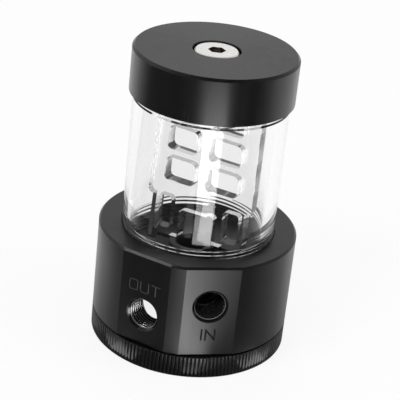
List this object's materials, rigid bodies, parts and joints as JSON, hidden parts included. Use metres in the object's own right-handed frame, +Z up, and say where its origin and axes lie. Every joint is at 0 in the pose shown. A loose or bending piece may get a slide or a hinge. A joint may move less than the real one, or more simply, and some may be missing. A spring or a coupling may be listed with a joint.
{
  "type": "coolant pump reservoir",
  "caption": "Round clear coolant reservoir on a black pump top with threaded inlet and outlet ports, a knurled clamping ring, a screwed cap and a fill plug.",
  "frame": {"origin": "centre of the face that the part stands on, on the axis that all the round pieces share", "axes": "+Z up along that axis, -Y out of the inlet port's flat, the outlet port's flat 40 degrees from it towards -X"},
  "size_m": [0.078, 0.078, 0.1197],
  "materials": {
    "black_ring": "satin black anodised, knurled",
    "black_body": "satin black anodised",
    "black_cap": "satin black anodised",
    "clear_tube": "clear polished acrylic",
    "clear_plate": "clear polished acrylic",
    "seal_rubber": "matt black",
    "plug_metal": "satin nickel plate"
  },
  "bodies": {
    "retention_ring": {"retention_ring": "black_ring"},
    "pump_seal": {"pump_seal": "seal_rubber"},
    "pump_top": {"pump_top": "black_body", "baffle_plate": "clear_plate"},
    "tube_seal": {"tube_seal": "seal_rubber"},
    "reservoir_tube": {"reservoir_tube": "clear_tube"},
    "cap_seal": {"cap_seal": "seal_rubber"},
    "top_cap": {"top_cap": "black_cap"},
    "plug_seal": {"plug_seal": "seal_rubber"},
    "fill_plug": {"fill_plug": "plug_metal"}
  },
  "joints": [
    {"name": "body_lift", "type": "slide", "parent": "retention_ring", "child": "pump_seal", "axis": [0, 0, 1], "range_m": [0, 0.0039]},
    {"name": "body_turn", "type": "hinge", "parent": "pump_seal", "child": "pump_top", "pos_m": [0, 0, 0.0096], "axis": [0, 0, 1], "range_deg": [0, 936]},
    {"name": "tube_lift", "type": "slide", "parent": "pump_top", "child": "tube_seal", "axis": [0, 0, 1], "range_m": [0, 0.008]},
    {"name": "tube_turn", "type": "hinge", "parent": "tube_seal", "child": "reservoir_tube", "pos_m": [0, 0, 0.0393], "axis": [0, 0, 1], "range_deg": [0, 1920]},
    {"name": "cap_lift", "type": "slide", "parent": "reservoir_tube", "child": "cap_seal", "axis": [0, 0, 1], "range_m": [0, 0.0108]},
    {"name": "cap_turn", "type": "hinge", "parent": "cap_seal", "child": "top_cap", "pos_m": [0, 0, 0.1017], "axis": [0, 0, 1], "range_deg": [0, 2592]},
    {"name": "plug_lift", "type": "slide", "parent": "top_cap", "child": "plug_seal", "axis": [0, 0, 1], "range_m": [0, 0.009]},
    {"name": "plug_turn", "type": "hinge", "parent": "plug_seal", "child": "fill_plug", "pos_m": [0, 0, 0.10745], "axis": [0, 0, 1], "range_deg": [0, 2423.34]}
  ],
  "couplings": [
    {"joint": "body_lift", "follows": "body_turn", "m_per_rad": 0.00023873},
    {"joint": "tube_lift", "follows": "tube_turn", "m_per_rad": 0.00023873},
    {"joint": "cap_lift", "follows": "cap_turn", "m_per_rad": 0.00023873},
    {"joint": "plug_lift", "follows": "plug_turn", "m_per_rad": 0.00021279}
  ]
}
